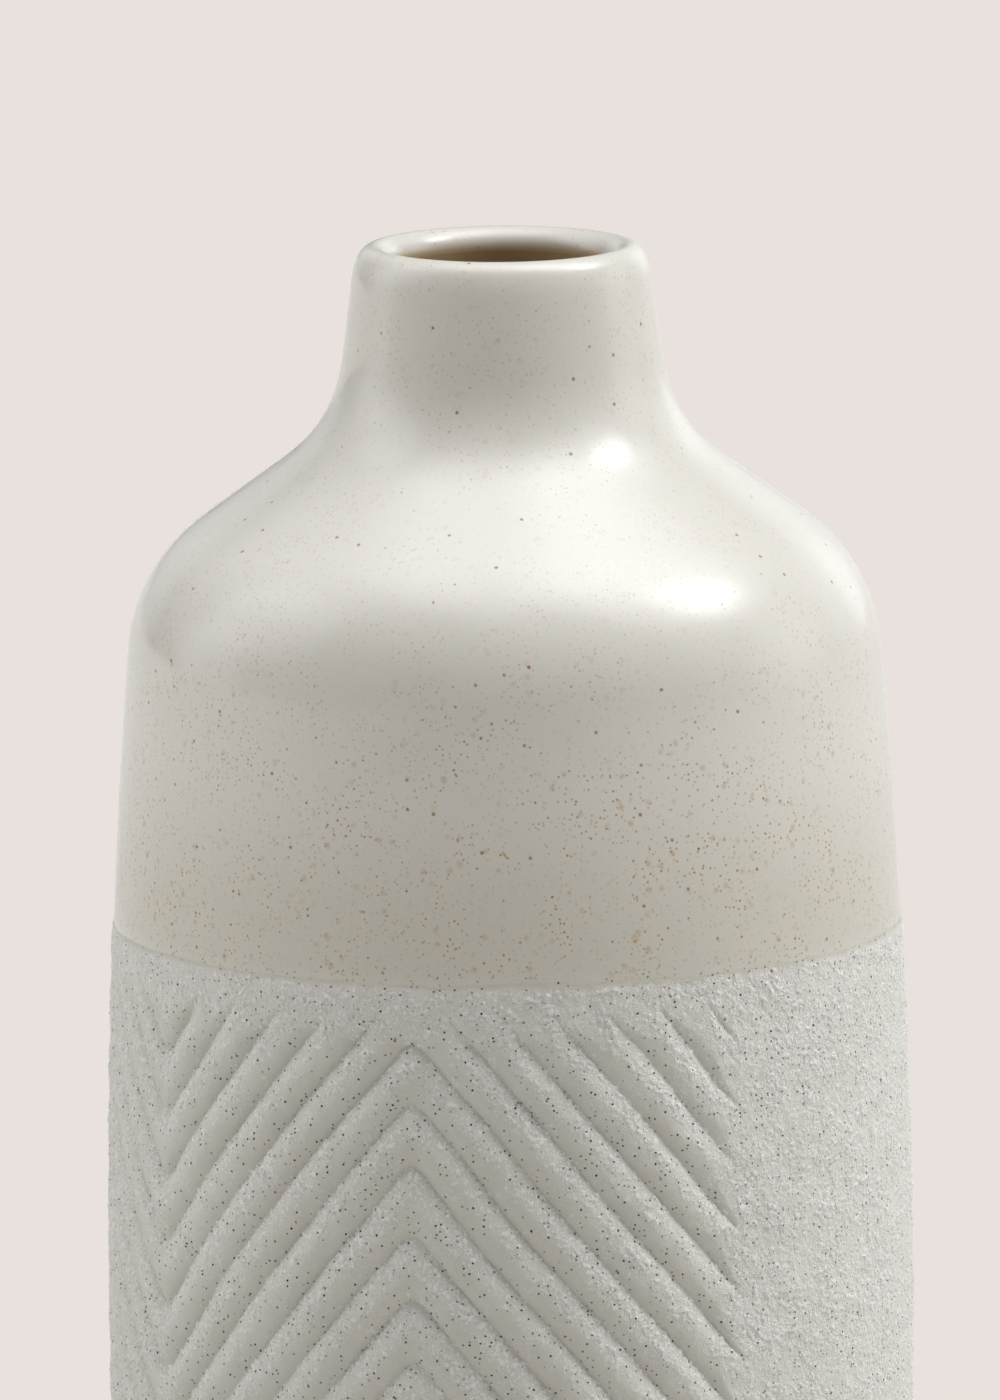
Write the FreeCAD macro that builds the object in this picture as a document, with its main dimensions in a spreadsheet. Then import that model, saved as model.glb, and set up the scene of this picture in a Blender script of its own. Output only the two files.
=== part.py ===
import FreeCAD, Part
import Sketcher
import math
import os
import re

from FreeCAD import Vector

# Stoneware vase: a rolled lip, a short neck, a sloping shoulder and a barrel whose lower part is carved with
# nested chevrons. Millimetres and degrees. The origin is the centre of the plane that the foot rests on,
# +Z points up and the front faces -Y.

SIZES = {
    # whole vase
    "total_height": 300.0,
    "barrel_radius": 80.34,
    "barrel_level": 88.0,
    "upper_barrel_arc": 1576.0,
    "lower_barrel_arc": 800.0,
    # lip and neck
    "lip_roll": 4.0,
    "neck_radius": 30.2,
    "neck_level": 290.0,
    "neck_flare": 6.8,
    "neck_root_arc": 28.5,
    # shoulder
    "shoulder_radius": 53.35,
    "shoulder_level": 250.0,
    "shoulder_slope": 54.1,
    "shoulder_arc": 34.2,
    # inside
    "floor_level": 11.0,
    "floor_corner_arc": 14.0,
    # heel and foot
    "heel_arc": 18.0,
    "heel_level": 14.0,
    "foot_land": 7.0,
    "foot_recess": 3.0,
    "foot_edge_round": 0.8,
    # coats
    "glaze_coat": 0.6,
    "slip_coat": 2.4,
    "glaze_edge_level": 164.0,
    "slip_end_level": 5.0,
    "slip_end_bevel": 1.5,
}

# Worked out from the sizes above, by the sheet itself.
DERIVED = {
    "wall": "2 * lip_roll",
    "lip_z": "total_height - lip_roll",
    "neck_reach": "neck_radius * cos(neck_flare) + neck_level * sin(neck_flare)",
    "slope_reach": "shoulder_radius * cos(shoulder_slope) + shoulder_level * sin(shoulder_slope)",
    "lip_x": "(neck_reach - lip_roll - lip_z * sin(neck_flare)) / cos(neck_flare)",
    "root_x": "((neck_reach + neck_root_arc) * sin(shoulder_slope)"
              " - (slope_reach + neck_root_arc) * sin(neck_flare)) / sin(shoulder_slope - neck_flare)",
    "root_z": "((slope_reach + neck_root_arc) * cos(neck_flare)"
              " - (neck_reach + neck_root_arc) * cos(shoulder_slope)) / sin(shoulder_slope - neck_flare)",
    "upper_x": "barrel_radius - upper_barrel_arc",
    "lower_x": "barrel_radius - lower_barrel_arc",
    "crown_gap": "upper_x * cos(shoulder_slope) + barrel_level * sin(shoulder_slope)"
                 " - slope_reach + shoulder_arc",
    "crown_run": "barrel_level * cos(shoulder_slope) - upper_x * sin(shoulder_slope)"
                 " - sqrt((upper_barrel_arc - shoulder_arc)^2 - crown_gap^2)",
    "crown_x": "(slope_reach - shoulder_arc) * cos(shoulder_slope) - crown_run * sin(shoulder_slope)",
    "crown_z": "(slope_reach - shoulder_arc) * sin(shoulder_slope) + crown_run * cos(shoulder_slope)",
    "crown_turn": "asin((crown_z - barrel_level) / (upper_barrel_arc - shoulder_arc))",
    "heel_turn": "asin((heel_level - barrel_level) / (lower_barrel_arc - heel_arc))",
    "heel_x": "lower_x + (lower_barrel_arc - heel_arc) * cos(heel_turn)",
    "heel_z": "heel_level",
    "foot_radius": "heel_x + sqrt((heel_arc - slip_coat)^2 - heel_level^2)",
    "corner_z": "floor_level + floor_corner_arc",
    "corner_turn": "asin((corner_z - barrel_level) / (lower_barrel_arc - wall - floor_corner_arc))",
    "corner_x": "lower_x + (lower_barrel_arc - wall - floor_corner_arc) * cos(corner_turn)",
}

# Chevron carving: one zigzag groove for each level, mitred at every peak and valley of the zigzag. Azimuths
# are measured from the front (-Y) towards +X. The carved zone leaves one plain band from its right end to
# its left end.
RIGHT_END_AZIMUTH = 36.0
LIMB_SPANS = [50.0, 45.0] * 3
FIRST_PEAK_LEVEL = 154.8
GROOVE_PITCH = 12.73
GROOVE_SLOPE = 49.5
GROOVE_DEPTH = 1.5
GROOVE_LAND = 1.8
GROOVE_CLEARANCE = 0.2
GROOVE_RUN_OUT = 9.0
CARVED_TOP = 160.5
CARVED_FOOT = 22.0
AZIMUTH_STEP = 5.0

doc = FreeCAD.newDocument("vase")


def make_sheet():
    sheet = doc.addObject("Spreadsheet::Sheet", "Sizes")
    row = 1
    for name, value in SIZES.items():
        sheet.set("A%d" % row, name)
        sheet.set("B%d" % row, repr(value))
        sheet.setAlias("B%d" % row, name)
        row += 1
    for name, formula in DERIVED.items():
        sheet.set("A%d" % row, name)
        sheet.set("B%d" % row, "=" + formula)
        sheet.setAlias("B%d" % row, name)
        row += 1
    doc.recompute()
    return sheet


SHEET = make_sheet()


def size(name):
    return float(SHEET.get(name))


# ---------------------------------------------------------------- outlines
# A joint is a pair of sheet expressions (radius, height). Every surface of the wall is parallel to the outer
# skin, so a joint on it is found from the skin's own arc centres and from its depth below the skin.

def cell(expression):
    """The expression with each sheet alias written as a reference to the sheet."""
    return re.sub(r"[a-z_]+", lambda word: refer(word.group()), expression)


def refer(word):
    return "Sizes." + word if word in SIZES or word in DERIVED else word


def value(expression):
    result = SHEET.evalExpression(cell(expression))
    return float(getattr(result, "Value", result))


def around(centre, radius, turn):
    """The joint on an arc of the named centre, where the normal is turned up by the angle turn."""
    return (
        "%s_x + (%s) * cos(%s)" % (centre, radius, turn),
        "%s_z + (%s) * sin(%s)" % (centre, radius, turn),
    )


def crest(depth):
    return ("lip_x", "lip_z + lip_roll - %s" % depth)


def lip_inside(depth):
    return around("lip", "%s - lip_roll" % depth, "neck_flare")


def lip_outside(depth):
    return around("lip", "lip_roll - %s" % depth, "neck_flare")


def neck_end(depth):
    return around("root", "0 - neck_root_arc - (%s)" % depth, "neck_flare")


def slope_start(depth):
    return around("root", "0 - neck_root_arc - (%s)" % depth, "shoulder_slope")


def slope_end(depth):
    return around("crown", "shoulder_arc - (%s)" % depth, "shoulder_slope")


def barrel_start(depth):
    return around("crown", "shoulder_arc - (%s)" % depth, "crown_turn")


def barrel_end(depth, level):
    """The joint on the upper barrel arc at a stated height."""
    return ("upper_x + sqrt((upper_barrel_arc - (%s))^2 - (%s - barrel_level)^2)" % (depth, level), level)


def widest(depth):
    return ("barrel_radius - (%s)" % depth, "barrel_level")


def heel_start(depth):
    return around("heel", "heel_arc - (%s)" % depth, "heel_turn")


def heel_end(depth, level):
    """The joint on the heel's arc at a stated height."""
    return ("heel_x + sqrt((heel_arc - (%s))^2 - (%s - heel_z)^2)" % (depth, level), level)


def corner_start(extra):
    return around("corner", "floor_corner_arc + %s" % extra, "corner_turn")


def corner_end(extra):
    return ("corner_x", "floor_level - %s" % extra)


def line():
    return None


def arc(centre_x, centre_z, radius, turn):
    return (centre_x, centre_z, radius, turn)


def outer_run(depth, turn):
    """The joints and links of the outer surface from the lip's crest down to the start of the barrel."""
    joints = [crest(depth), lip_outside(depth), neck_end(depth), slope_start(depth)]
    joints += [slope_end(depth), barrel_start(depth)]
    links = [
        arc("lip_x", "lip_z", "lip_roll - %s" % depth, -turn),
        line(),
        arc("root_x", "root_z", "neck_root_arc + %s" % depth, turn),
        line(),
        arc("crown_x", "crown_z", "shoulder_arc - %s" % depth, -turn),
    ]
    return joints, links


def upper_barrel(depth, turn):
    return arc("upper_x", "barrel_level", "upper_barrel_arc - (%s)" % depth, turn)


def lower_barrel(depth, turn):
    return arc("lower_x", "barrel_level", "lower_barrel_arc - (%s)" % depth, turn)


def heel(depth, turn):
    return arc("heel_x", "heel_z", "heel_arc - (%s)" % depth, turn)


def inner_run(depth, extra):
    """The surface inside the vase, from the middle of the floor up to the inside of the lip."""
    joints = [("0", "floor_level - %s" % extra), corner_end(extra), corner_start(extra), widest(depth)]
    joints += [barrel_start(depth), slope_end(depth), slope_start(depth), neck_end(depth), lip_inside(extra)]
    links = [
        line(),
        arc("corner_x", "corner_z", "floor_corner_arc + %s" % extra, 1),
        lower_barrel(depth, 1),
        upper_barrel(depth, 1),
        arc("crown_x", "crown_z", "shoulder_arc - (%s)" % depth, 1),
        line(),
        arc("root_x", "root_z", "neck_root_arc + %s" % depth, -1),
        line(),
    ]
    return joints, links


def add_arc(sketch, start, end, link):
    """An arc from start to end. Returns its index and which of its ends lies on start and on end."""
    centre = Vector(value(link[0]), value(link[1]), 0)
    circle = Part.Circle(centre, Vector(0, 0, 1), value(link[2]))
    first, last = (start, end) if link[3] > 0 else (end, start)
    angle_from = math.atan2(first.y - centre.y, first.x - centre.x)
    angle_to = math.atan2(last.y - centre.y, last.x - centre.x)
    if angle_to < angle_from:
        angle_to += 2 * math.pi
    index = sketch.addGeometry(Part.ArcOfCircle(circle, angle_from, angle_to), False)
    return (index, 1, 2) if link[3] > 0 else (index, 2, 1)


def constrain(sketch, kind, geometry, expression):
    index = sketch.addConstraint(Sketcher.Constraint(kind, *geometry, value(expression)))
    sketch.setExpression("Constraints[%d]" % index, cell(expression))


def fix_point(sketch, index, end, joint):
    """Ties one end point to its joint: on an axis where a coordinate is nought, else by a driven distance."""
    if joint[0] == "0":
        sketch.addConstraint(Sketcher.Constraint("PointOnObject", index, end, -2))
    else:
        constrain(sketch, "DistanceX", (index, end), joint[0])
    if joint[1] == "0":
        sketch.addConstraint(Sketcher.Constraint("PointOnObject", index, end, -1))
    else:
        constrain(sketch, "DistanceY", (index, end), joint[1])


def draw_outline(body, joints, links):
    """A closed sketch on the body's own XZ plane, whose joints and arcs all follow the sheet."""
    plane = [f for f in body.Origin.OriginFeatures if f.Role == "XZ_Plane"][0]
    sketch = body.newObject("Sketcher::SketchObject", body.Name + "_outline")
    sketch.AttachmentSupport = [(plane, "")]
    sketch.MapMode = "FlatFace"
    points = [Vector(value(x), value(z), 0) for x, z in joints]
    ends = []
    for number, link in enumerate(links):
        start = points[number]
        end = points[(number + 1) % len(points)]
        if link is None:
            index = sketch.addGeometry(Part.LineSegment(start, end), False)
            ends.append((index, 1, 2))
        else:
            ends.append(add_arc(sketch, start, end, link))
    for number, link in enumerate(links):
        index, first, last = ends[number]
        following = ends[(number + 1) % len(ends)]
        sketch.addConstraint(Sketcher.Constraint("Coincident", index, last, following[0], following[1]))
        fix_point(sketch, index, first, joints[number])
        if link is not None:
            constrain(sketch, "Radius", (index,), link[2])
    return sketch


def turned_body(name, joints, links):
    body = doc.addObject("PartDesign::Body", name)
    body.Label = name
    sketch = draw_outline(body, joints, links)
    turned = body.newObject("PartDesign::Revolution", name + "_turned")
    turned.Profile = sketch
    turned.ReferenceAxis = (sketch, ["V_Axis"])
    turned.Angle = 360.0
    body.Tip = turned
    body.Placement = FreeCAD.Placement()
    doc.recompute()
    return body


# ---------------------------------------------------------------- sub-parts

def make_outer_glaze():
    """The glossy coat outside: from the inside of the lip over the shoulder down to the glaze edge."""
    joints, links = outer_run("0", 1)
    joints = [lip_inside("0")] + joints
    links = [arc("lip_x", "lip_z", "lip_roll", -1)] + links
    joints += [barrel_end("0", "glaze_edge_level"), barrel_end("glaze_coat", "glaze_edge_level")]
    links += [upper_barrel("0", -1), line(), upper_barrel("glaze_coat", 1)]
    back_joints, back_links = outer_run("glaze_coat", -1)
    joints += back_joints[::-1] + [lip_inside("glaze_coat")]
    links += back_links[::-1] + [arc("lip_x", "lip_z", "lip_roll - glaze_coat", 1), line()]
    return turned_body("outer_glaze", joints, links)


def make_liner_glaze():
    """The glossy coat inside: from the middle of the floor up to the inside of the lip."""
    joints, links = inner_run("wall", "0")
    back_joints, back_links = inner_run("wall - glaze_coat", "glaze_coat")
    joints += back_joints[::-1]
    links += [line()] + [reverse(link) for link in back_links[::-1]] + [line()]
    return turned_body("liner_glaze", joints, links)


def reverse(link):
    return link if link is None else arc(link[0], link[1], link[2], -link[3])


def make_stoneware_body():
    """The fired clay: lip, neck, shoulder, wall, floor and foot ring in one piece."""
    joints, links = outer_run("glaze_coat", 1)
    joints += [
        barrel_end("glaze_coat", "glaze_edge_level"),
        barrel_end("slip_coat", "glaze_edge_level"),
        widest("slip_coat"),
        heel_start("slip_coat"),
        ("foot_radius", "0"),
        ("foot_radius - foot_land", "0"),
        ("foot_radius - foot_land - foot_recess / 2", "foot_recess"),
        ("0", "foot_recess"),
    ]
    links += [upper_barrel("glaze_coat", -1), line(), upper_barrel("slip_coat", -1)]
    links += [lower_barrel("slip_coat", -1), heel("slip_coat", -1), line(), line(), line(), line()]
    inner_joints, inner_links = inner_run("wall - glaze_coat", "glaze_coat")
    joints += inner_joints
    links += inner_links + [arc("lip_x", "lip_z", "lip_roll - glaze_coat", -1)]
    body = turned_body("stoneware_body", joints, links)
    turned = body.Tip
    rounding = body.newObject("PartDesign::Fillet", "foot_rounding")
    rounding.Base = (turned, foot_edges(turned.Shape))
    rounding.setExpression("Radius", cell("foot_edge_round"))
    body.Tip = rounding
    doc.recompute()
    return body


def foot_edges(shape):
    """The names of the two round edges that bound the face the vase rests on."""
    names = []
    for number, edge in enumerate(shape.Edges, start=1):
        box = edge.BoundBox
        if abs(box.ZMax) < 1e-6 and abs(box.ZMin) < 1e-6:
            names.append("Edge%d" % number)
    return names


def make_slip_blank():
    """The sanded slip before it is carved: from the glaze edge down to a bevel just above the foot."""
    joints = [
        barrel_end("0", "glaze_edge_level"),
        widest("0"),
        heel_start("0"),
        heel_end("0", "slip_end_level + slip_end_bevel"),
        heel_end("slip_coat", "slip_end_level"),
        heel_start("slip_coat"),
        widest("slip_coat"),
        barrel_end("slip_coat", "glaze_edge_level"),
    ]
    links = [upper_barrel("0", -1), lower_barrel("0", -1), heel("0", -1), line()]
    links += [heel("slip_coat", 1), lower_barrel("slip_coat", 1), upper_barrel("slip_coat", 1), line()]
    return turned_body("slip_blank", joints, links)


# ---------------------------------------------------------------- chevron grooves

def skin_radius(level):
    """The outer radius of the barrel at a height."""
    reach = size("upper_barrel_arc") if level > size("barrel_level") else size("lower_barrel_arc")
    rise = level - size("barrel_level")
    return size("barrel_radius") - reach + math.sqrt(reach * reach - rise * rise)


def limb_drop(span):
    """How far a limb of the zigzag falls over its span of azimuth."""
    return size("barrel_radius") * math.radians(span) * math.tan(math.radians(GROOVE_SLOPE))


def zigzag(level):
    """The corners (azimuth, height) of one groove, from the carving's right end round to its left end."""
    azimuth = RIGHT_END_AZIMUTH
    height = level - limb_drop(LIMB_SPANS[0])
    corners = [(azimuth, height)]
    for number, span in enumerate(LIMB_SPANS):
        azimuth -= span
        height += limb_drop(span) * (1 if number % 2 == 0 else -1)
        corners.append((azimuth, height))
    return corners


def clip_limb(start, end):
    """The part of a limb inside the carved zone, or None."""
    low, high = sorted((start[1], end[1]))
    if high <= CARVED_FOOT or low >= CARVED_TOP:
        return None
    ends = []
    for azimuth, height in (start, end):
        bounded = min(max(height, CARVED_FOOT), CARVED_TOP)
        share = (bounded - start[1]) / (end[1] - start[1])
        ends.append((start[0] + (end[0] - start[0]) * share, bounded))
    return ends


def groove_chains(level):
    """The runs of one zigzag that stay in the carved zone, each a list of corners."""
    corners = zigzag(level)
    chains = []
    for start, end in zip(corners, corners[1:]):
        limb = clip_limb(start, end)
        if limb is None:
            continue
        if chains and chains[-1][-1] == limb[0]:
            chains[-1].append(limb[1])
        else:
            chains.append(limb)
    return [chain for chain in chains if chain_length(chain) > 2 * GROOVE_RUN_OUT]


def chain_length(chain):
    slope = math.radians(GROOVE_SLOPE)
    return sum(abs(b[1] - a[1]) / math.sin(slope) for a, b in zip(chain, chain[1:]))


def stations(chain):
    """Points along each limb as (azimuth, height, distance from the chain's start), and its whole length."""
    travelled = 0.0
    limbs = []
    for (azimuth_a, height_a), (azimuth_b, height_b) in zip(chain, chain[1:]):
        length = abs(height_b - height_a) / math.sin(math.radians(GROOVE_SLOPE))
        count = max(4, int(math.ceil(abs(azimuth_b - azimuth_a) / AZIMUTH_STEP)))
        limb = []
        for step in range(count + 1):
            share = step / count
            azimuth = azimuth_a + (azimuth_b - azimuth_a) * share
            limb.append((azimuth, height_a + (height_b - height_a) * share, travelled + length * share))
        limbs.append(limb)
        travelled += length
    return limbs, travelled


def sunk_at(distance, total):
    """How far the groove's bottom lies below the skin: it runs out gently at both ends of the chain."""
    near = min(distance, total - distance) / GROOVE_RUN_OUT
    share = min(1.0, max(0.0, near))
    eased = math.sin(share * math.pi / 2)
    return GROOVE_DEPTH * eased - 0.5 * GROOVE_CLEARANCE * (1 - eased)


def tool_section(azimuth, height, sunk):
    """The bottom, the upper edge and the lower edge of the V-shaped cutter in one upright plane."""
    tool_height = GROOVE_DEPTH + GROOVE_CLEARANCE
    half = (GROOVE_PITCH - GROOVE_LAND) / 2 * tool_height / GROOVE_DEPTH
    turn = math.radians(azimuth)
    section = []
    for rise, lift in ((0.0, -sunk), (half, tool_height - sunk), (-half, tool_height - sunk)):
        radius = skin_radius(height + rise) + lift
        section.append(Vector(radius * math.sin(turn), -radius * math.cos(turn), height + rise))
    return section


def curve_through(points):
    curve = Part.BSplineCurve()
    curve.interpolate(points)
    return curve.toShape()


def groove_tool(chain):
    """One closed cutter along a chain: three ruled faces for each limb and a flat cap at each end."""
    limbs, total = stations(chain)
    faces = []
    for limb in limbs:
        sections = [tool_section(azimuth, height, sunk_at(way, total)) for azimuth, height, way in limb]
        curves = [curve_through([section[corner] for section in sections]) for corner in range(3)]
        for one, other in ((0, 1), (1, 2), (2, 0)):
            faces.append(Part.makeRuledSurface(curves[one], curves[other]))
    for azimuth, height, way in (limbs[0][0], limbs[-1][-1]):
        corners = tool_section(azimuth, height, sunk_at(way, total))
        faces.append(Part.Face(Part.makePolygon(corners + corners[:1])))
    shell = Part.makeShell(faces)
    shell.sewShape()
    solid = Part.Solid(shell.Shells[0] if shell.ShapeType != "Shell" else shell)
    if solid.Volume < 0:
        solid.reverse()
    return solid


def make_grooves():
    """Every groove cutter of the carving, as one compound."""
    reach = limb_drop(LIMB_SPANS[0]) * 2
    lowest = int(math.floor((CARVED_FOOT - reach - FIRST_PEAK_LEVEL) / GROOVE_PITCH))
    highest = int(math.ceil(reach / GROOVE_PITCH))
    tools = []
    for number in range(lowest, highest + 1):
        for chain in groove_chains(FIRST_PEAK_LEVEL + number * GROOVE_PITCH):
            tools.append(groove_tool(chain))
    grooves = doc.addObject("Part::Feature", "chevron_grooves")
    grooves.Shape = Part.makeCompound(tools)
    grooves.Placement = FreeCAD.Placement()
    return grooves


def make_sanded_slip():
    """The gritty coat below the glaze edge, with the chevrons carved into it."""
    slip = doc.addObject("Part::Cut", "sanded_slip")
    slip.Label = "sanded_slip"
    slip.Base = make_slip_blank()
    slip.Tool = make_grooves()
    slip.Placement = FreeCAD.Placement()
    doc.recompute()
    return slip


# ---------------------------------------------------------------- build, check and write

def check_document():
    for item in doc.Objects:
        bad = [state for state in item.State if state in ("Invalid", "Error")]
        if bad:
            raise RuntimeError("%s is %s" % (item.Name, bad))


def write_part(item):
    shape = item.Shape
    if shape.isNull() or not shape.isValid():
        raise RuntimeError("%s has no valid shape" % item.Label)
    shape.exportStep("parts/%s.step" % item.Label)
    box = shape.optimalBoundingBox()
    print("%s: %d solid(s), %d faces, %.1f cm3, z %.2f to %.2f, reach %.2f" % (
        item.Label, len(shape.Solids), len(shape.Faces), shape.Volume / 1000, box.ZMin, box.ZMax, box.XMax))


parts = [make_stoneware_body(), make_outer_glaze(), make_liner_glaze(), make_sanded_slip()]
doc.recompute()
check_document()
os.makedirs("parts", exist_ok=True)
for part in parts:
    write_part(part)
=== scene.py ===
import math

import bpy
import numpy as np
from mathutils import Matrix, Vector


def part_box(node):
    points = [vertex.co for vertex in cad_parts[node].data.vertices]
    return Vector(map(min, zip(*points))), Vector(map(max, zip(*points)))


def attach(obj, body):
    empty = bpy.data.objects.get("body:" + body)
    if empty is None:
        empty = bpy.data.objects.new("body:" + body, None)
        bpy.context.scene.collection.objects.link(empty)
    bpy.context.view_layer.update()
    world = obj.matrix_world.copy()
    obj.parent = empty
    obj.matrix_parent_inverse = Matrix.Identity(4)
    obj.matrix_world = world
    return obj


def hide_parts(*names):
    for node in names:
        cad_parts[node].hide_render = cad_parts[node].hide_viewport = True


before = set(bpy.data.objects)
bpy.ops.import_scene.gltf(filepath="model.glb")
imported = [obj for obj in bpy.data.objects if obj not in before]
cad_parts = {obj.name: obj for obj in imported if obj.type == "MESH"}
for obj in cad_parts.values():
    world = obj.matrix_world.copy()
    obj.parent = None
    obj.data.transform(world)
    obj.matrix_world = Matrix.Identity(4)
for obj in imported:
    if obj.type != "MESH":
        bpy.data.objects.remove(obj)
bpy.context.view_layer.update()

# Stoneware vase. Its sizes are in millimetres and become metres when a mesh is made. Azimuths are in degrees
# from the front (-Y) towards +X.

MM = 0.001


def box_mm(node):
    """The low and the high corner of a CAD node's box, in millimetres."""
    low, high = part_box(node)
    return np.array(low) / MM, np.array(high) / MM


GLAZE_LOW, GLAZE_HIGH = box_mm("outer_glaze")
SLIP_LOW, _ = box_mm("sanded_slip")

# ---------------------------------------------------------------- driving dimensions, as in the CAD

TOTAL_HEIGHT = GLAZE_HIGH[2]
GLAZE_EDGE = GLAZE_LOW[2]
SLIP_END = SLIP_LOW[2]
BARREL_RADIUS = 80.34
BARREL_LEVEL = 88.0
UPPER_BARREL_ARC = 1576.0
LOWER_BARREL_ARC = 800.0
LIP_ROLL = 4.0
NECK_RADIUS = 30.2
NECK_LEVEL = 290.0
NECK_FLARE = math.radians(6.8)
NECK_ROOT_ARC = 28.5
SHOULDER_RADIUS = 53.35
SHOULDER_LEVEL = 250.0
SHOULDER_SLOPE = math.radians(54.1)
SHOULDER_ARC = 34.2
HEEL_ARC = 18.0
HEEL_LEVEL = 14.0
GLAZE_COAT = 0.6
SLIP_COAT = 2.4
SLIP_END_BEVEL = 1.5

# The carving: nested zigzags from its right end round the left side and the back. Each limb spans so many
# degrees. It is the CAD's, except that it is a little shallower and reaches slightly further up and down.
RIGHT_END_AZIMUTH = 36.0
LIMB_SPANS = [50.0, 45.0] * 3
FIRST_PEAK_LEVEL = 154.8
GROOVE_PITCH = 12.73
GROOVE_SLOPE = math.radians(49.5)
GROOVE_DEPTH = 1.2
GROOVE_RUN_OUT = 9.0
CARVED_TOP = 161.0
CARVED_FOOT = 20.0

# ---------------------------------------------------------------- fine detail sizes

# Steps between the points of the outline, of the glaze's mesh and of the slip's mesh.
OUTLINE_STEP = 0.25
GLAZE_STEP = 0.5
GLAZE_COLUMNS = 720
STEP_ROUND = 0.36
STEP_UP = 0.34

# The glaze's edge: how far it waves and hangs down, how far up that reaches, and how the glaze thins there.
GLAZE_WAVE = 0.5
EDGE_DROP = 0.6
EDGE_REACH = 9.0
GLAZE_SINK = 0.10
GLAZE_TUCK = 0.30
THIN_REACH = 6.0
BELOW_SHOULDER = 200.0

# The slip: how far it runs on under the glaze and sinks there, its rest below the plain skin, and its sand.
SLIP_OVERLAP = 3.0
SLIP_DIP = 0.20
SLIP_BACK_UNDER_GLAZE = 0.52
SLIP_REST = -0.08
PATCH_SIZE = 5
GRAIN_SIZE = 0.46
GRAIN_HEIGHT = 0.20

# Layers of unevenness, each with its height and the size of its features.
GLAZE_HANDWORK = [(0.10, 34), (0.02, 9)]
SLIP_LUMPS = [(0.05, 2.2), (0.07, 8)]


# ---------------------------------------------------------------- the skin's outline

def arc_points(centre, radius, start, end, step=OUTLINE_STEP):
    """Points along an arc from one angle to another, in radians."""
    count = max(2, int(abs(end - start) * radius / step))
    turn = np.linspace(start, end, count)
    return np.stack([centre[0] + radius * np.cos(turn), centre[1] + radius * np.sin(turn)], 1)


def skin_outline():
    """(radius, height) along the outer skin, from the inside of the lip down to the heel.

    The neck and the slope of the shoulder are straight lines, each given by its distance from the origin.
    Arcs round the lip, join the two lines and turn the slope into the barrel.
    """
    neck_reach = NECK_RADIUS * math.cos(NECK_FLARE) + NECK_LEVEL * math.sin(NECK_FLARE)
    slope_reach = SHOULDER_RADIUS * math.cos(SHOULDER_SLOPE) + SHOULDER_LEVEL * math.sin(SHOULDER_SLOPE)
    lip_z = TOTAL_HEIGHT - LIP_ROLL
    lip_x = (neck_reach - LIP_ROLL - lip_z * math.sin(NECK_FLARE)) / math.cos(NECK_FLARE)
    between = math.sin(SHOULDER_SLOPE - NECK_FLARE)
    neck_line = neck_reach + NECK_ROOT_ARC
    slope_line = slope_reach + NECK_ROOT_ARC
    root_x = (neck_line * math.sin(SHOULDER_SLOPE) - slope_line * math.sin(NECK_FLARE)) / between
    root_z = (slope_line * math.cos(NECK_FLARE) - neck_line * math.cos(SHOULDER_SLOPE)) / between
    upper_x = BARREL_RADIUS - UPPER_BARREL_ARC
    lower_x = BARREL_RADIUS - LOWER_BARREL_ARC
    normal = np.array([math.cos(SHOULDER_SLOPE), math.sin(SHOULDER_SLOPE)])
    along = np.array([-normal[1], normal[0]])
    barrel = np.array([upper_x, BARREL_LEVEL])
    gap = barrel @ normal - slope_reach + SHOULDER_ARC
    reach = UPPER_BARREL_ARC - SHOULDER_ARC
    crown = normal * (slope_reach - SHOULDER_ARC) + along * (barrel @ along - math.sqrt(reach**2 - gap**2))
    crown_turn = math.asin((crown[1] - BARREL_LEVEL) / reach)
    heel_turn = math.asin((HEEL_LEVEL - BARREL_LEVEL) / (LOWER_BARREL_ARC - HEEL_ARC))
    heel = (lower_x + (LOWER_BARREL_ARC - HEEL_ARC) * math.cos(heel_turn), HEEL_LEVEL)
    last_turn = math.asin((SLIP_END + SLIP_END_BEVEL - HEEL_LEVEL) / HEEL_ARC)
    pieces = [
        arc_points((lip_x, lip_z), LIP_ROLL, math.pi + NECK_FLARE, NECK_FLARE),
        arc_points((root_x, root_z), NECK_ROOT_ARC, math.pi + NECK_FLARE, math.pi + SHOULDER_SLOPE),
        arc_points(crown, SHOULDER_ARC, SHOULDER_SLOPE, crown_turn),
        arc_points((upper_x, BARREL_LEVEL), UPPER_BARREL_ARC, crown_turn, 0.0),
        arc_points((lower_x, BARREL_LEVEL), LOWER_BARREL_ARC, 0.0, heel_turn),
        arc_points(heel, HEEL_ARC, heel_turn, last_turn),
    ]
    return soften(evenly(np.concatenate(pieces), OUTLINE_STEP), 0.5 * math.pi * LIP_ROLL)


def evenly(points, step):
    """The same line with points a step apart."""
    way = np.concatenate([[0], np.cumsum(np.hypot(*np.diff(points, axis=0).T))])
    keep = np.concatenate([[True], np.diff(way) > 1e-6])
    at = np.linspace(0, way[-1], int(way[-1] / step) + 1)
    return np.stack([np.interp(at, way[keep], points[keep, axis]) for axis in (0, 1)], 1)


def soften(points, crest, spread=10):
    """Rounds the changes of curvature past the crest of the lip, as a thrown and glazed wall has them."""
    offsets = np.arange(-3 * spread, 3 * spread + 1)
    weights = np.exp(-0.5 * (offsets / spread) ** 2)
    weights /= weights.sum()
    padded = np.pad(points, ((3 * spread, 3 * spread), (0, 0)), mode="reflect", reflect_type="odd")
    smooth = np.stack([np.convolve(padded[:, axis], weights, "valid") for axis in (0, 1)], 1)
    way = np.arange(len(points)) * OUTLINE_STEP
    share = ease(np.minimum((way - crest) / 7.0, (way[-1] - way) / 8.0))[:, None]
    return points * (1 - share) + smooth * share


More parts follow.
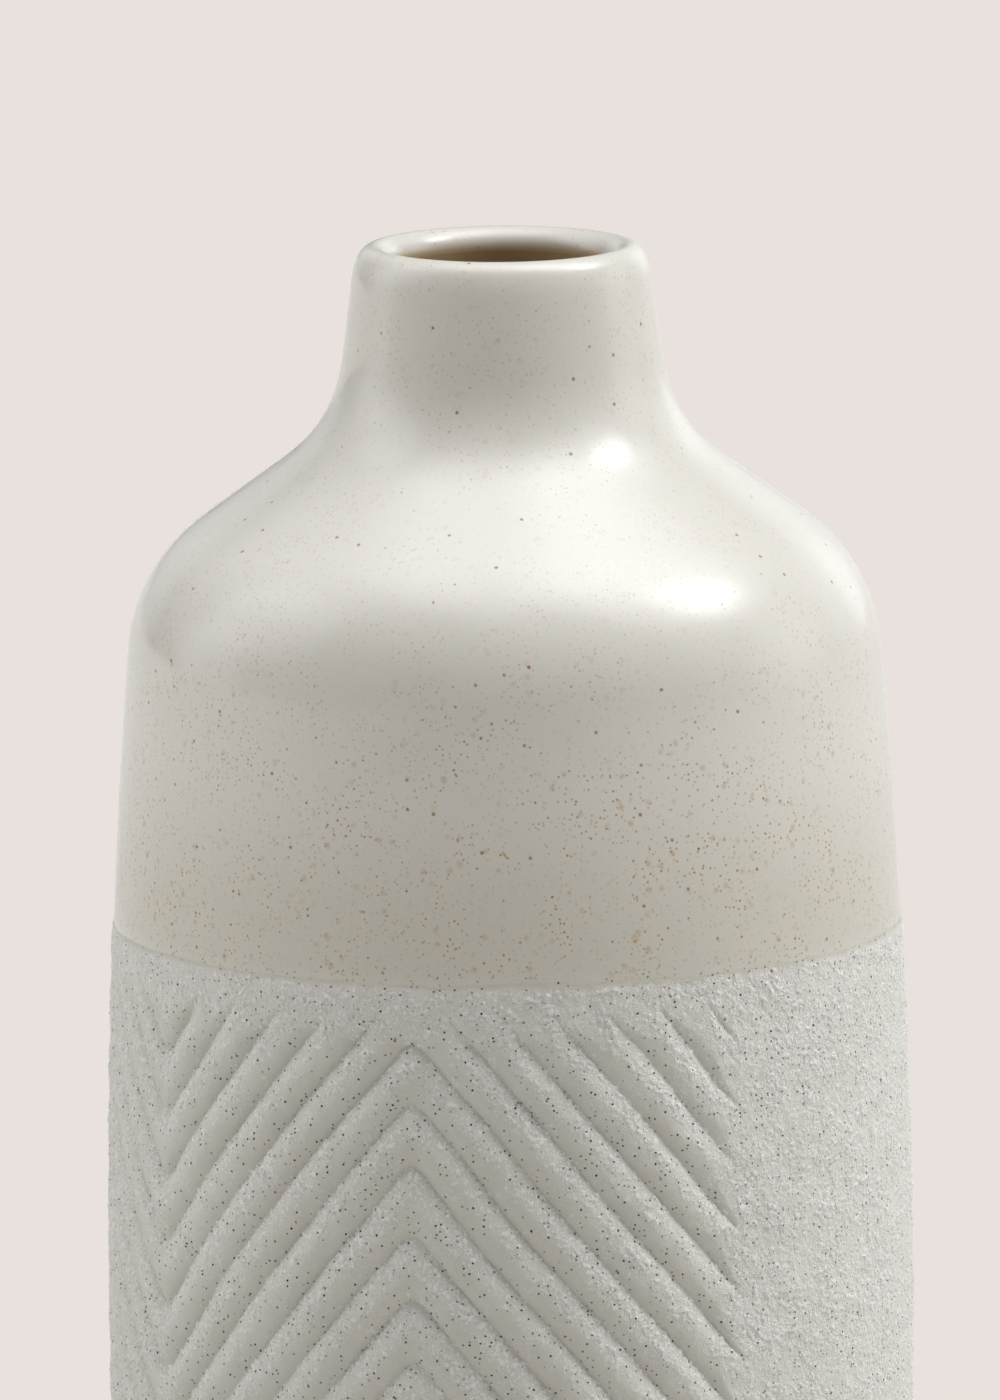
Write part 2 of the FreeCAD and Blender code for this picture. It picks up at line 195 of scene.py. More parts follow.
def ease(value):
    """Runs from 0 to 1 with soft ends."""
    value = np.clip(value, 0, 1)
    return value * value * (3 - 2 * value)


def normals_of(points):
    """The outward normal at each point of an outline that runs downwards."""
    slope = np.gradient(points, axis=0)
    normal = np.stack([-slope[:, 1], slope[:, 0]], 1)
    return normal / np.linalg.norm(normal, axis=1)[:, None]


SKIN = skin_outline()


def skin_part(top, bottom, step):
    """The stretch of the skin below the lip between two heights, top first."""
    below = SKIN[np.argmax(SKIN[:, 0] > NECK_RADIUS):]
    height = -below[:, 1]
    ends = [[np.interp(-z, height, below[:, 0]), z] for z in (top, bottom)]
    inside = below[(below[:, 1] < top - 1e-6) & (below[:, 1] > bottom + 1e-6)]
    return evenly(np.concatenate([ends[:1], inside, ends[1:]]), step)


# ---------------------------------------------------------------- noise on a wrapped grid

def wrapped_noise(rng, shape, steps, size):
    """Smooth random values of unit spread whose features are about size across. It wraps round the vase."""
    rows, columns = shape
    up = np.fft.fftfreq(rows, steps[0])[:, None]
    round_ = np.fft.fftfreq(columns, steps[1])[None, :]
    pass_band = np.exp(-0.5 * (np.hypot(up, round_) * size * 2.2) ** 2)
    field = np.fft.ifft2(np.fft.fft2(rng.standard_normal(shape)) * pass_band).real
    return (field - field.mean()) / field.std()


def unevenness(rng, shape, steps, layers):
    """The sum of some layers of noise, each with its height and the size of its features."""
    return sum(height * wrapped_noise(rng, shape, steps, size) for height, size in layers)


# ---------------------------------------------------------------- meshes

def ring_mesh(name, radius, height, azimuth, fields=None):
    """A closed skin: each row of the arrays is one ring, and the last ring joins the first."""
    rows, columns = radius.shape
    turn = np.radians(azimuth)[None, :]
    places = np.stack([radius * np.sin(turn), -radius * np.cos(turn), height], 2).reshape(-1, 3) * MM
    row = np.arange(rows)[:, None]
    column = np.arange(columns)[None, :]
    next_row = (row + 1) % rows
    next_column = (column + 1) % columns
    corners = [row * columns + column, next_row * columns + column]
    corners += [next_row * columns + next_column, row * columns + next_column]
    quads = np.stack(corners, 2).reshape(-1, 4)
    mesh = bpy.data.meshes.new(name)
    mesh.vertices.add(len(places))
    mesh.vertices.foreach_set("co", places.ravel())
    mesh.loops.add(quads.size)
    mesh.loops.foreach_set("vertex_index", quads.ravel().astype(np.int32))
    mesh.polygons.add(len(quads))
    mesh.polygons.foreach_set("loop_start", np.arange(0, quads.size, 4, dtype=np.int32))
    mesh.polygons.foreach_set("loop_total", np.full(len(quads), 4, dtype=np.int32))
    mesh.polygons.foreach_set("use_smooth", np.ones(len(quads), dtype=bool))
    for field, values in (fields or {}).items():
        layer = mesh.attributes.new(field, "FLOAT", "POINT")
        layer.data.foreach_set("value", values.ravel().astype(np.float32))
    mesh.update(calc_edges=True)
    piece = bpy.data.objects.new(name, mesh)
    bpy.context.collection.objects.link(piece)
    return piece


def glaze_outline():
    """The outline of the glaze from the inside of the lip down to its edge."""
    lip = SKIN[: np.argmax(SKIN[:, 0] > NECK_RADIUS) + 1]
    wall = skin_part(lip[-1, 1] - 0.2, GLAZE_EDGE, GLAZE_STEP)
    front = evenly(np.concatenate([lip, wall]), GLAZE_STEP)
    # a close second ring keeps the corner at the start crisp
    second = 0.94 * front[:1] + 0.06 * front[1:2]
    return np.concatenate([front[:1], second, front[1:]])


def glaze_swell(front, rng, shape, steps):
    """How far the glaze stands off the plain skin: uneven as handwork is, and thinner towards its edge."""
    handwork = unevenness(rng, shape, steps, GLAZE_HANDWORK)
    from_lip = ease((TOTAL_HEIGHT - front[:, 1:] - 3) / 20)
    above_edge = front[:, 1:] - GLAZE_EDGE
    full = ease(above_edge / THIN_REACH)
    thinning = -GLAZE_SINK * (1 - full) - GLAZE_TUCK * (1 - ease(above_edge))
    return handwork * from_lip * full + np.where(front[:, 1:] < BELOW_SHOULDER, thinning, 0)


def edge_shift(outline, edge_wave):
    """How far the wavy edge moves each ring of an outline up or down. It fades out above the edge."""
    near_edge = 1 - ease((outline[:, 1:] - GLAZE_EDGE) / EDGE_REACH)
    return np.where(outline[:, 1:] < BELOW_SHOULDER, near_edge * (edge_wave - EDGE_DROP), 0)


def make_glaze(rng):
    """The glossy outer coat: the skin from the lip down to a wavy, feathered edge, closed behind."""
    azimuth = np.linspace(-180, 180, GLAZE_COLUMNS, endpoint=False)
    front = glaze_outline()
    outward = normals_of(front)
    back = (front - outward * GLAZE_COAT * 0.98)[::-1]
    steps = (GLAZE_STEP, 2 * math.pi * BARREL_RADIUS / GLAZE_COLUMNS)
    swell = glaze_swell(front, rng, (len(front), GLAZE_COLUMNS), steps)
    wave = wrapped_noise(rng, (4, GLAZE_COLUMNS), (400, steps[1]), 11)[:1]
    edge_wave = GLAZE_WAVE * np.clip(wave, -1.6, 1.6)
    front_radius = front[:, :1] + swell * outward[:, :1]
    front_height = front[:, 1:] + swell * outward[:, 1:] + edge_shift(front, edge_wave)
    back_radius = np.repeat(back[:, :1], GLAZE_COLUMNS, 1)
    back_height = back[:, 1:] + edge_shift(back, edge_wave)
    radius = np.concatenate([front_radius, back_radius])
    height = np.concatenate([front_height, back_height])
    crest_radius = SKIN[np.argmax(SKIN[:, 1]), 0]
    # The inside of the lip, which the glaze's colour browns, partly as painted shade.
    inside = ease((TOTAL_HEIGHT - 1.8 - height) / 2.8) * ease((crest_radius - radius) / 0.8)
    piece = ring_mesh("glaze_coat", radius, height, azimuth, {"inside": inside})
    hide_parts("outer_glaze")
    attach(piece, "root")
    return piece


def zigzag_height(azimuth):
    """The zigzag line's height, 0 at its first peak, and the way round to the nearer end of the carving."""
    corner = np.concatenate([[0], np.cumsum(LIMB_SPANS)])
    drop = BARREL_RADIUS * np.radians(LIMB_SPANS) * math.tan(GROOVE_SLOPE)
    level = np.concatenate([[-drop[0]], np.cumsum(drop * np.tile([1, -1], 3)) - drop[0]])
    turned = (RIGHT_END_AZIMUTH - azimuth) % 360
    spread = np.linspace(-1.6, 1.6, 9)
    line = np.mean([np.interp(turned + shift, corner, level) for shift in spread], axis=0)
    round_mm = math.radians(1) * BARREL_RADIUS
    from_end = np.minimum(turned, corner[-1] - turned) * round_mm
    return line, from_end


def carving(height, azimuth, rng, steps):
    """How deep the carving goes, how near each place is to a groove's bottom, and how far it faces up."""
    shape = height.shape
    line, from_end = zigzag_height(azimuth)
    wander = 0.030 * wrapped_noise(rng, shape, steps, 22)
    level = (height - FIRST_PEAK_LEVEL - line[None, :]) / GROOVE_PITCH + wander
    rise = level - np.floor(level)
    wall = (1 - np.abs(np.sin(math.pi * rise))) ** 1.3
    depth = GROOVE_DEPTH * (1 + 0.10 * wrapped_noise(rng, shape, steps, 14))
    run_out = ease(from_end / GROOVE_RUN_OUT)[None, :]
    run_out = run_out * ease((CARVED_TOP - height) / GROOVE_RUN_OUT)
    run_out = run_out * ease((height - CARVED_FOOT) / GROOVE_RUN_OUT)
    sunk = np.maximum(0, depth * wall - depth * (1 - run_out))
    carved = run_out > 0.02
    bottom = np.where(carved, np.clip(sunk / GROOVE_DEPTH, 0, 1) ** 2, 0)
    faces_up = np.where(carved, ease((rise - 0.32) / 0.36) * run_out + (1 - run_out), 1.0)
    return sunk, bottom, faces_up


def sanding(rng, shape, steps, share):
    """How densely the sand lies, patchy within its share of each place, and how high its grains stand."""
    patches = ease(0.5 + 0.35 * wrapped_noise(rng, shape, steps, PATCH_SIZE))
    grit = share * (0.55 + 0.45 * patches)
    grains = np.clip(wrapped_noise(rng, shape, steps, GRAIN_SIZE) - 0.1, 0, 2.0)
    return grit, grains * grit


def make_slip(rng):
    """The sanded coat: the skin below the glaze edge with its carving, lumps and grit, closed behind."""
    columns = int(2 * math.pi * BARREL_RADIUS / STEP_ROUND)
    azimuth = np.linspace(-180, 180, columns, endpoint=False)
    front = skin_part(GLAZE_EDGE + SLIP_OVERLAP, SLIP_END + SLIP_END_BEVEL, STEP_UP)
    outward = normals_of(front)
    height = np.repeat(front[:, 1:], columns, 1)
    shape = height.shape
    steps = (STEP_UP, STEP_ROUND)
    sunk, bottom, faces_up = carving(height, azimuth, rng, steps)
    bare = ease((GLAZE_EDGE + 1.2 - height) / 1.6)
    grit, grain = sanding(rng, shape, steps, bare * (0.35 + 0.65 * faces_up))
    lumps = unevenness(rng, shape, steps, SLIP_LUMPS)
    dip = SLIP_DIP * ease((height - GLAZE_EDGE) / THIN_REACH)
    swell = SLIP_REST - sunk + lumps * bare + GRAIN_HEIGHT * grain - dip
    under_glaze = front[:, 1:] > GLAZE_EDGE - 0.2
    behind = np.where(under_glaze, SLIP_BACK_UNDER_GLAZE, SLIP_COAT * 0.99)
    back = (front - outward * behind)[::-1][::6]
    radius = np.concatenate([front[:, :1] + swell * outward[:, :1], np.repeat(back[:, :1], columns, 1)])
    placed = np.concatenate([front[:, 1:] + swell * outward[:, 1:], np.repeat(back[:, 1:], columns, 1)])
    blank = np.zeros((len(back), columns))
    shown = {"bottom": bottom, "grain": grain, "grit": grit, "faces_up": faces_up, "bare": bare}
    fields = {name: np.concatenate([values, blank]) for name, values in shown.items()}
    piece = ring_mesh("slip_coat", radius, placed, azimuth, fields)
    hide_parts("sanded_slip")
    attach(piece, "root")
    return piece


# ---------------------------------------------------------------- material building blocks

class Recipe:
    """A node material under construction. Coordinates are the piece's own, in millimetres."""

    def __init__(self, name):
        self.material = bpy.data.materials.new(name)
        self.material.use_nodes = True
        self.tree = self.material.node_tree
        self.shader = self.tree.nodes["Principled BSDF"]
        place = self.tree.nodes.new("ShaderNodeTexCoord").outputs["Object"]
        self.place = self.vector("SCALE", place, factor=1 / MM)

    def node(self, kind, **settings):
        """Adds a node with these settings."""
        made = self.tree.nodes.new(kind)
        for key, value in settings.items():
            setattr(made, key, value)
        return made

    def feed(self, socket, value):
        """Links a socket to a socket, or sets it to a plain value."""
        if isinstance(value, bpy.types.NodeSocket):
            self.tree.links.new(value, socket)
        else:
            socket.default_value = value

    def vector(self, operation, first, second=None, factor=None):
        """The vector that a Vector Math node makes."""
        made = self.node("ShaderNodeVectorMath", operation=operation)
        self.feed(made.inputs[0], first)
        if second is not None:
            self.feed(made.inputs[1], second)
        if factor is not None:
            made.inputs["Scale"].default_value = factor
        return made.outputs[0]

    def math(self, operation, first, second=0.0):
        """The value that a Math node makes."""
        made = self.node("ShaderNodeMath", operation=operation)
        self.feed(made.inputs[0], first)
        self.feed(made.inputs[1], second)
        return made.outputs[0]

    def noise(self, size, detail=2.0, rough=0.5, shift=0.0):
        """Fractal noise from 0 to 1 whose features are about size millimetres across."""
        made = self.node("ShaderNodeTexNoise")
        self.feed(made.inputs["Vector"], self.vector("ADD", self.place, (shift, shift * 0.7, shift * 1.3)))
        made.inputs["Scale"].default_value = 1.0 / size
        made.inputs["Detail"].default_value = detail
        made.inputs["Roughness"].default_value = rough
        return made.outputs["Fac"]

    def span(self, value, low, high, start=0.0, end=1.0):
        """Maps low..high to start..end with a soft run at both ends."""
        made = self.node("ShaderNodeMapRange", interpolation_type="SMOOTHSTEP")
        self.feed(made.inputs["Value"], value)
        made.inputs["From Min"].default_value = low
        made.inputs["From Max"].default_value = high
        made.inputs["To Min"].default_value = start
        made.inputs["To Max"].default_value = end
        return made.outputs["Result"]

    def specks(self, cell, radius, keep, soft=0.35, shift=0.0, warp=0.0):
        """Spots of about one radius in a share of the cells: their mask, and a random value for each."""
        place = self.vector("ADD", self.place, (shift, -shift, shift * 0.5))
        if warp:
            made = self.node("ShaderNodeTexNoise")
            self.feed(made.inputs["Vector"], place)
            made.inputs["Scale"].default_value = 0.6 / radius
            centred = self.vector("SUBTRACT", made.outputs["Color"], (0.5, 0.5, 0.5))
            place = self.vector("ADD", place, self.vector("SCALE", centred, factor=warp))
        spots = self.node("ShaderNodeTexVoronoi", feature="F1")
        self.feed(spots.inputs["Vector"], place)
        spots.inputs["Scale"].default_value = 1.0 / cell
        core = radius * (1 - soft) / cell
        rim = radius * (1 + soft) / cell
        near = self.span(spots.outputs["Distance"], core, rim, 1, 0)
        parts = self.node("ShaderNodeSeparateColor")
        self.feed(parts.inputs[0], spots.outputs["Color"])
        kept = self.math("LESS_THAN", parts.outputs[0], keep)
        return self.math("MULTIPLY", near, kept), parts.outputs[1]

    def mix(self, share, first, second):
        """Blends two colours, each a socket or a screen colour."""
        made = self.node("ShaderNodeMix", data_type="RGBA")
        self.feed(made.inputs["Factor"], share)
        self.feed(made.inputs[6], first if isinstance(first, bpy.types.NodeSocket) else colour(first))
        self.feed(made.inputs[7], second if isinstance(second, bpy.types.NodeSocket) else colour(second))
        return made.outputs[2]

    def field(self, name):
        """A field that ring_mesh stored with the mesh."""
        return self.node("ShaderNodeAttribute", attribute_name=name).outputs["Fac"]

    def height_mm(self):
        """The height of each place, in millimetres."""
        parts = self.node("ShaderNodeSeparateXYZ")
        self.feed(parts.inputs[0], self.place)
        return parts.outputs["Z"]

    def bump(self, height, depth_mm, normal=None):
        """The surface's normal with some relief, on top of the relief before it if there is any."""
        made = self.node("ShaderNodeBump")
        self.feed(made.inputs["Height"], height)
        made.inputs["Distance"].default_value = depth_mm * MM
        made.inputs["Strength"].default_value = 1.0
        if normal is not None:
            self.feed(made.inputs["Normal"], normal)
        return made.outputs["Normal"]

    def finish(self, base, rough, normal=None, gloss=0.5, coat=0.0, coat_rough=0.1):
        """Sets the shader. A clear coat gives a glaze its sharper reflections."""
        self.feed(self.shader.inputs["Base Color"], base)
        self.feed(self.shader.inputs["Roughness"], rough)
        self.shader.inputs["Specular IOR Level"].default_value = gloss
        self.shader.inputs["Coat Weight"].default_value = coat
        self.shader.inputs["Coat Roughness"].default_value = coat_rough
        if normal is not None:
            self.feed(self.shader.inputs["Normal"], normal)
        return self.material


def colour(rgb):
    """A screen colour, 0 to 255, as a linear RGBA value."""
    linear = [c / 255 / 12.92 if c <= 10 else ((c / 255 + 0.055) / 1.055) ** 2.4 for c in rgb]
    return (*linear, 1.0)


# ---------------------------------------------------------------- materials

# Screen colours: red, green and blue from 0 to 255.
CREAM = (212, 206, 193)
# Painted light: the glaze's colour higher up, lighter as a lit shoulder is.
PAINTED_LIGHT_CREAM = (226, 221, 211)
OCHRE = (178, 130, 40)
BROWN = (120, 76, 30)
GOLD_BROWN = (156, 104, 34)
# The liner's brown, partly painted shade inside the mouth, and below it painted shade deeper down.
MOUTH_BROWN_AND_SHADE = (204, 176, 138)
MOUTH_DEEP_SHADE = (160, 130, 96)
SPECK_DARK = (38, 33, 28)
SPECK_RED = (116, 52, 40)
SLIP_GREY = (229, 226, 218)
# The slip's own tan tone, and painted shade on the carving's flanks that face down.
SLIP_TAN_AND_SHADE = (220, 217, 207)
# Painted shade in the grooves' bottoms.
GROOVE_SHADE = (150, 144, 131)
GRAIN_WHITE = (250, 249, 245)
BEAD_WHITE = (250, 249, 246)
CLAY_LIGHT = (186, 168, 142)
CLAY_DARK = (168, 148, 120)
GROG = (214, 202, 182)


def glaze_speckles(recipe, base):
    """Iron in the glaze: faint ochre clouds, ochre dots, sharp brown dots and a few larger golden ones."""
    denser_below = recipe.span(recipe.height_mm(), 240, 192, 0.35, 1.0)
    patch = recipe.span(recipe.noise(13, shift=31), 0.36, 0.62, 0.25, 1.0)
    share = recipe.math("MULTIPLY", denser_below, patch)
    cloud, _ = recipe.specks(2.6, 0.55, 0.45, soft=0.8, shift=7, warp=1.0)
    strength = recipe.math("MULTIPLY", recipe.math("MULTIPLY", cloud, share), 0.42)
    base = recipe.mix(strength, base, OCHRE)
    dots, tone = recipe.specks(1.0, 0.24, 0.80, soft=0.45, shift=19, warp=0.3)
    strength = recipe.math("MULTIPLY", dots, recipe.span(tone, 0.0, 1.0, 0.30, 1.0))
    base = recipe.mix(recipe.math("MULTIPLY", strength, share), base, OCHRE)
    sharp, tone = recipe.specks(1.9, 0.25, 0.40, soft=0.4, shift=43)
    strength = recipe.math("MULTIPLY", recipe.span(tone, 0.2, 1.0, 0.25, 0.9), denser_below)
    base = recipe.mix(recipe.math("MULTIPLY", sharp, strength), base, BROWN)
    gold, _ = recipe.specks(4.6, 0.36, 0.45, soft=0.4, shift=57, warp=0.3)
    return recipe.mix(recipe.math("MULTIPLY", gold, 0.85), base, GOLD_BROWN)


def cream_glaze_material():
    """Glossy and cream, lighter higher up as painted light, and browner inside the mouth, partly as painted
    shade. It greys and picks up dark specks towards the slip.
    """
    recipe = Recipe("cream_glaze")
    # Painted light: the glaze turns lighter from 172 mm up to 208 mm.
    base = recipe.mix(recipe.span(recipe.height_mm(), 172, 208), CREAM, PAINTED_LIGHT_CREAM)
    base = glaze_speckles(recipe, base)
    # Partly painted shade: the inside of the lip browns towards the liner.
    base = recipe.mix(recipe.field("inside"), base, MOUTH_BROWN_AND_SHADE)
    wander = recipe.math("MULTIPLY", recipe.noise(6, 3, shift=11), 3.0)
    above_edge = recipe.math("SUBTRACT", recipe.height_mm(), GLAZE_EDGE)
    from_edge = recipe.math("SUBTRACT", above_edge, wander)
    base = recipe.mix(recipe.span(from_edge, 4.5, -0.5), base, dark_specks(recipe, base))
    base = recipe.mix(recipe.span(from_edge, 2.6, -1.6, 0.0, 0.5), base, SLIP_TAN_AND_SHADE)
    ripple = recipe.bump(recipe.noise(3.2, 2, 0.4, shift=3), 0.035)
    normal = recipe.bump(recipe.noise(0.7, 1, 0.4, shift=9), 0.004, ripple)
    rough = recipe.span(recipe.noise(7, 2, shift=13), 0.3, 0.7, 0.42, 0.50)
    return recipe.finish(base, rough, normal, gloss=0.35, coat=0.7, coat_rough=0.10)


def liner_glaze_material():
    """The same glaze over bare clay inside: glossy and brown, partly as painted shade, and darker further
    down as painted shade.
    """
    recipe = Recipe("liner_glaze")
    # Painted shade: the liner darkens further down the mouth.
    base = recipe.mix(recipe.span(recipe.height_mm(), 297, 270), MOUTH_BROWN_AND_SHADE, MOUTH_DEEP_SHADE)
    sharp, _ = recipe.specks(2.0, 0.30, 0.40, soft=0.4, shift=15)
    base = recipe.mix(recipe.math("MULTIPLY", sharp, 0.8), base, BROWN)
    ripple = recipe.bump(recipe.noise(4.0, 2, 0.4, shift=3), 0.05)
    return recipe.finish(base, 0.22, ripple, coat=0.2)


def dark_specks(recipe, base, keep=0.45):
    """Near-black specks of iron, and here and there a rusty one."""
    sharp, tone = recipe.specks(1.05, 0.23, keep, soft=0.2, shift=61, warp=0.25)
    strength = recipe.math("MULTIPLY", sharp, recipe.span(tone, 0, 1, 0.5, 1.0))
    base = recipe.mix(strength, base, SPECK_DARK)
    red, _ = recipe.specks(6.0, 0.32, 0.35, soft=0.3, shift=83, warp=0.3)
    return recipe.mix(recipe.math("MULTIPLY", red, 0.7), base, SPECK_RED)


def sanded_slip_material():
    """Matte grey-white with white grit on the flanks that face up. Painted shade makes the flanks that face
    down tan, and the grooves' bottoms a darker tan.
    """
    recipe = Recipe("sanded_slip")
    mottled = recipe.span(recipe.noise(14, 3, shift=4), 0.35, 0.65, 0.0, 0.35)
    faces_down = recipe.math("SUBTRACT", 1.0, recipe.field("faces_up"))
    # Painted shade on the flanks that face down, added to a random tan mottling.
    tan_and_shade_share = recipe.math("ADD", recipe.math("MULTIPLY", faces_down, 0.75), mottled)
    base = recipe.mix(recipe.math("MINIMUM", tan_and_shade_share, 1.0), SLIP_GREY, SLIP_TAN_AND_SHADE)
    # Painted shade: darker where the grooves are deepest.
    base = recipe.mix(recipe.math("MULTIPLY", recipe.field("bottom"), 0.18), base, GROOVE_SHADE)
    grain_share = recipe.span(recipe.field("grain"), 0.2, 0.9, 0.0, 0.8)
    base = recipe.mix(grain_share, base, GRAIN_WHITE)
    beads, _ = recipe.specks(0.62, 0.23, 0.85, soft=0.5, shift=37, warp=0.2)
    beads = recipe.math("MULTIPLY", beads, recipe.span(recipe.field("grit"), 0.15, 0.95))
    base = recipe.mix(recipe.math("MULTIPLY", beads, 0.9), base, BEAD_WHITE)
    base = recipe.mix(recipe.field("bare"), CREAM, base)
    base = dark_specks(recipe, base)
    sand = recipe.span(recipe.noise(0.32, 2, 0.6, shift=21), 0.40, 0.68)
    normal = recipe.bump(beads, 0.10, recipe.bump(sand, 0.06))
    rough = recipe.span(recipe.field("bare"), 0, 1, 0.35, 0.75)
    return recipe.finish(base, rough, normal, gloss=0.4)


def fired_clay_material():
    """Bare fired clay, as the foot shows it: blotchy tan with pale grog and fine relief."""
    recipe = Recipe("fired_clay")
    blotches = recipe.span(recipe.noise(11, 4, 0.6, shift=8), 0.35, 0.65)
    base = recipe.mix(blotches, CLAY_LIGHT, CLAY_DARK)
    grog, _ = recipe.specks(1.1, 0.30, 0.35, soft=0.5, shift=27)
    base = recipe.mix(recipe.math("MULTIPLY", grog, 0.5), base, GROG)
    base = dark_specks(recipe, base, 0.3)
    relief = recipe.bump(recipe.noise(0.9, 3, 0.65, shift=6), 0.12)
    return recipe.finish(base, 0.85, relief, gloss=0.3)


def assign(piece, material):
    """Gives a piece one material."""
    piece.data.materials.clear()
    piece.data.materials.append(material)


# ---------------------------------------------------------------- studio

# The floor has one colour for the camera and one for the light it throws back. Its radius is in metres.
# BACKDROP_FROM and BACKDROP_FULL are the distances, in millimetres, over which it turns into the backdrop.
BACKDROP = (233, 225, 221)
FLOOR_PALE = (208, 202, 199)
FLOOR_BOUNCE = (212, 208, 204)
FLOOR_RADIUS = 15.0
FLOOR_CORNERS = 96
BACKDROP_FROM = 170
BACKDROP_FULL = 330


def make_floor():
    """A wide pale floor. Near the vase it takes light and shadow, and further out it is an even backdrop."""
    turn = np.linspace(0, 2 * math.pi, FLOOR_CORNERS, endpoint=False)
    ring = [(FLOOR_RADIUS * math.cos(t), FLOOR_RADIUS * math.sin(t), 0.0) for t in turn]
    mesh = bpy.data.meshes.new("studio_floor")
    mesh.from_pydata(ring, [], [tuple(range(FLOOR_CORNERS))])
    floor = bpy.data.objects.new("studio_floor", mesh)
    bpy.context.collection.objects.link(floor)
    assign(floor, floor_material())


def floor_material():
    """Matte and pale near the vase, and the backdrop's own even colour further out."""
    recipe = Recipe("studio_floor")
    seen = recipe.node("ShaderNodeLightPath").outputs["Is Camera Ray"]
    recipe.feed(recipe.shader.inputs["Base Color"], recipe.mix(seen, FLOOR_BOUNCE, FLOOR_PALE))
    recipe.shader.inputs["Roughness"].default_value = 0.9
    recipe.shader.inputs["Specular IOR Level"].default_value = 0.1
    glow = recipe.node("ShaderNodeEmission")
    glow.inputs["Color"].default_value = colour(BACKDROP)
    distance = recipe.node("ShaderNodeVectorMath", operation="LENGTH")
    recipe.feed(distance.inputs[0], recipe.place)
    far = recipe.span(distance.outputs["Value"], BACKDROP_FROM, BACKDROP_FULL)
    blend = recipe.node("ShaderNodeMixShader")
    recipe.feed(blend.inputs[0], recipe.math("MULTIPLY", far, seen))
    recipe.feed(blend.inputs[1], recipe.shader.outputs[0])
    recipe.feed(blend.inputs[2], glow.outputs[0])
    recipe.feed(recipe.tree.nodes["Material Output"].inputs["Surface"], blend.outputs[0])
    return recipe.material


STUDIO_WHITE = (250, 253, 255)

# Soft lights round the vase. Each has its azimuth, elevation and reach in degrees, and its strength.
SOFT_LIGHTS = {
    "key": (90, 60, 34, 3.1),
    "key_middle": (92, 51, 20, 0.7),
    "key_core": (92, 49, 15, 6.5),
    "top": (0, 89, 36, 2.15),
    "left_top": (-90, 60, 34, 0.6),
    "left_high": (-92, 34, 28, 1.7),
    "left_behind": (-120, 34, 32, 0.5),
    "right_wall": (100, 8, 24, 1.3),
    "left_wall": (-104, 8, 20, 1.2),
    "rear_right": (140, 8, 24, 0.8),
    "rear": (160, 8, 24, 0.85),
    "rear_left": (-157, 8, 20, 0.6),
}


def add_soft_light(tree, direction, total, azimuth, elevation, reach, strength):
    """Adds a light, full in its middle and fading to nothing at its reach, to the sum of those before."""
    facing = tree.nodes.new("ShaderNodeVectorMath")
    facing.operation = "DOT_PRODUCT"
    facing.inputs[1].default_value = toward(azimuth, elevation)
    tree.links.new(direction, facing.inputs[0])
    glow = tree.nodes.new("ShaderNodeMapRange")
    glow.interpolation_type = "SMOOTHSTEP"
    glow.inputs["From Min"].default_value = math.cos(math.radians(reach))
    glow.inputs["To Max"].default_value = strength
    tree.links.new(facing.outputs["Value"], glow.inputs["Value"])
    light = tree.nodes.new("ShaderNodeVectorMath")
    light.operation = "MULTIPLY_ADD"
    light.inputs[0].default_value = colour(STUDIO_WHITE)[:3]
    tree.links.new(glow.outputs["Result"], light.inputs[1])
    if total is not None:
        tree.links.new(total, light.inputs[2])
    return light.outputs[0]


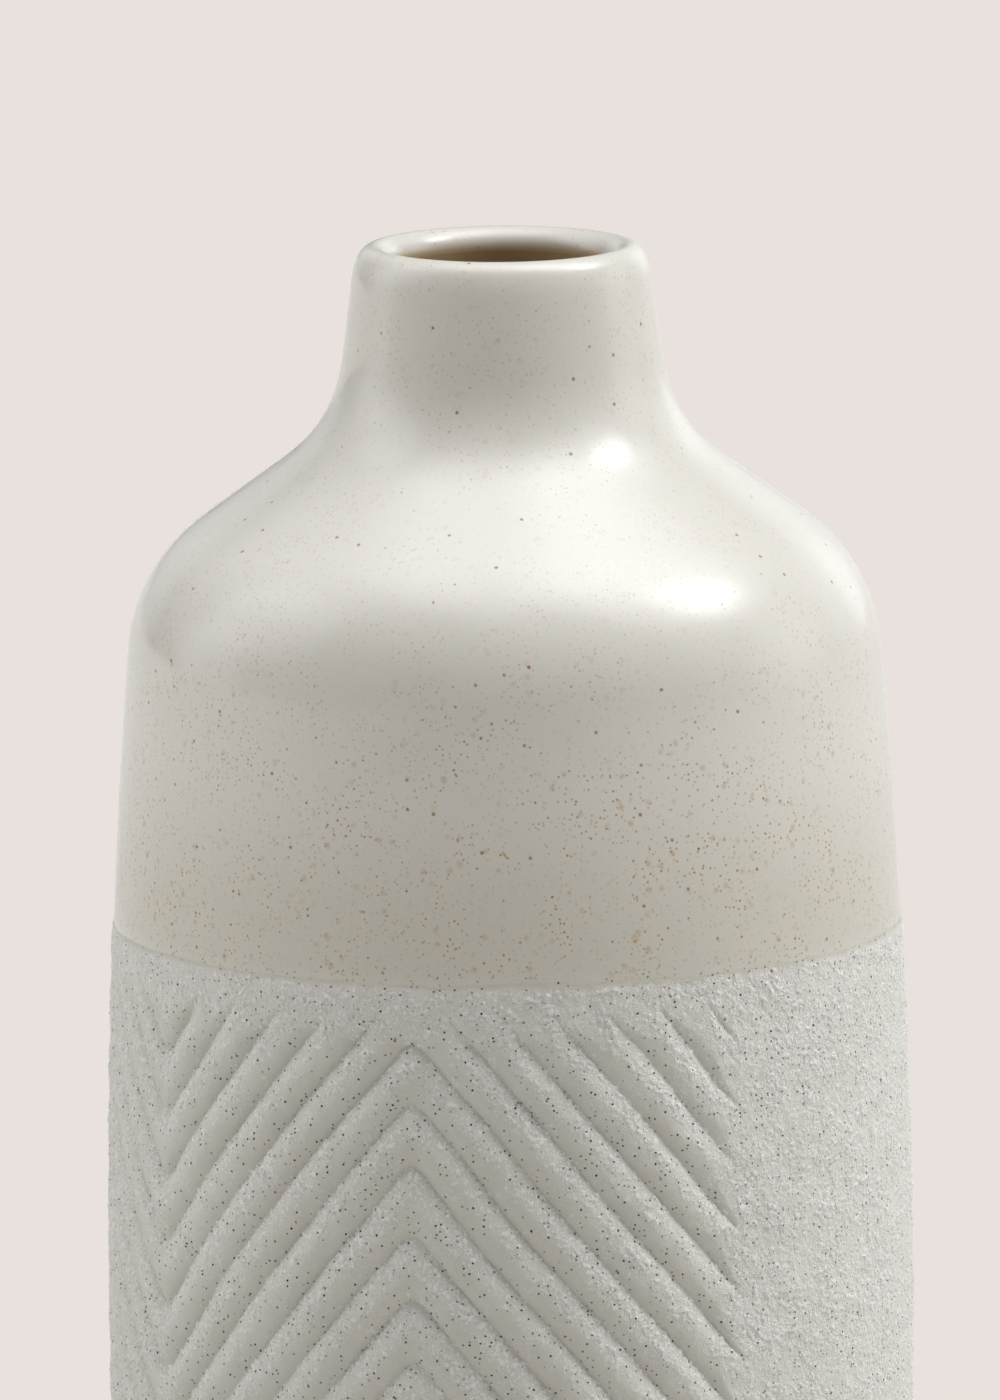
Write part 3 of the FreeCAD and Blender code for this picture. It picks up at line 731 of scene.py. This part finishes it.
def make_world():
    """The even backdrop for the camera, and for everything else a dark room with the soft lights."""
    world = bpy.data.worlds.new("studio")
    bpy.context.scene.world = world
    world.use_nodes = True
    tree = world.node_tree
    direction = tree.nodes.new("ShaderNodeTexCoord").outputs["Generated"]
    total = None
    for light in SOFT_LIGHTS.values():
        total = add_soft_light(tree, direction, total, *light)
    room = tree.nodes["Background"]
    tree.links.new(total, room.inputs["Color"])
    seen = tree.nodes.new("ShaderNodeBackground")
    seen.inputs["Color"].default_value = colour(BACKDROP)
    path = tree.nodes.new("ShaderNodeLightPath")
    blend = tree.nodes.new("ShaderNodeMixShader")
    tree.links.new(path.outputs["Is Camera Ray"], blend.inputs[0])
    tree.links.new(room.outputs[0], blend.inputs[1])
    tree.links.new(seen.outputs[0], blend.inputs[2])
    tree.links.new(blend.outputs[0], tree.nodes["World Output"].inputs["Surface"])


def toward(azimuth, elevation):
    """The direction from the vase to an azimuth and elevation in degrees."""
    turn = math.radians(azimuth)
    climb = math.radians(elevation)
    return Vector((math.sin(turn) * math.cos(climb), -math.cos(turn) * math.cos(climb), math.sin(climb)))


# The camera's lengths are in metres. The offset shifts the picture by a share of the frame's height.
CAMERA_PITCH = math.radians(9.6)
CAMERA_DISTANCE = 3.6
CAMERA_AIM = 0.209
CAMERA_ROLL = math.radians(0.53)
FRAME_HEIGHT = 0.2783
AXIS_OFFSET = (0.0039, 0.0021)


def make_camera():
    """A long lens that looks down a little. Its frame cuts the vase off above the foot, as the photo does."""
    data = bpy.data.cameras.new("camera")
    data.sensor_width = 36.0
    data.lens = data.sensor_width * CAMERA_DISTANCE / FRAME_HEIGHT
    data.shift_x = -AXIS_OFFSET[0]
    data.shift_y = -AXIS_OFFSET[1]
    camera = bpy.data.objects.new("camera", data)
    back = Vector((0, -math.cos(CAMERA_PITCH), math.sin(CAMERA_PITCH)))
    camera.location = Vector((0, 0, CAMERA_AIM)) + back * CAMERA_DISTANCE
    turned = back.to_track_quat("Z", "Y").to_matrix() @ Matrix.Rotation(-CAMERA_ROLL, 3, "Z")
    camera.rotation_euler = turned.to_euler()
    bpy.context.collection.objects.link(camera)
    bpy.context.scene.camera = camera


# ---------------------------------------------------------------- build

draws = np.random.default_rng(7)
glaze = make_glaze(draws)
slip = make_slip(draws)
assign(glaze, cream_glaze_material())
assign(slip, sanded_slip_material())
assign(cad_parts["liner_glaze"], liner_glaze_material())
assign(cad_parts["stoneware_body"], fired_clay_material())
make_floor()
make_world()
make_camera()
bpy.context.scene.view_settings.view_transform = "Standard"
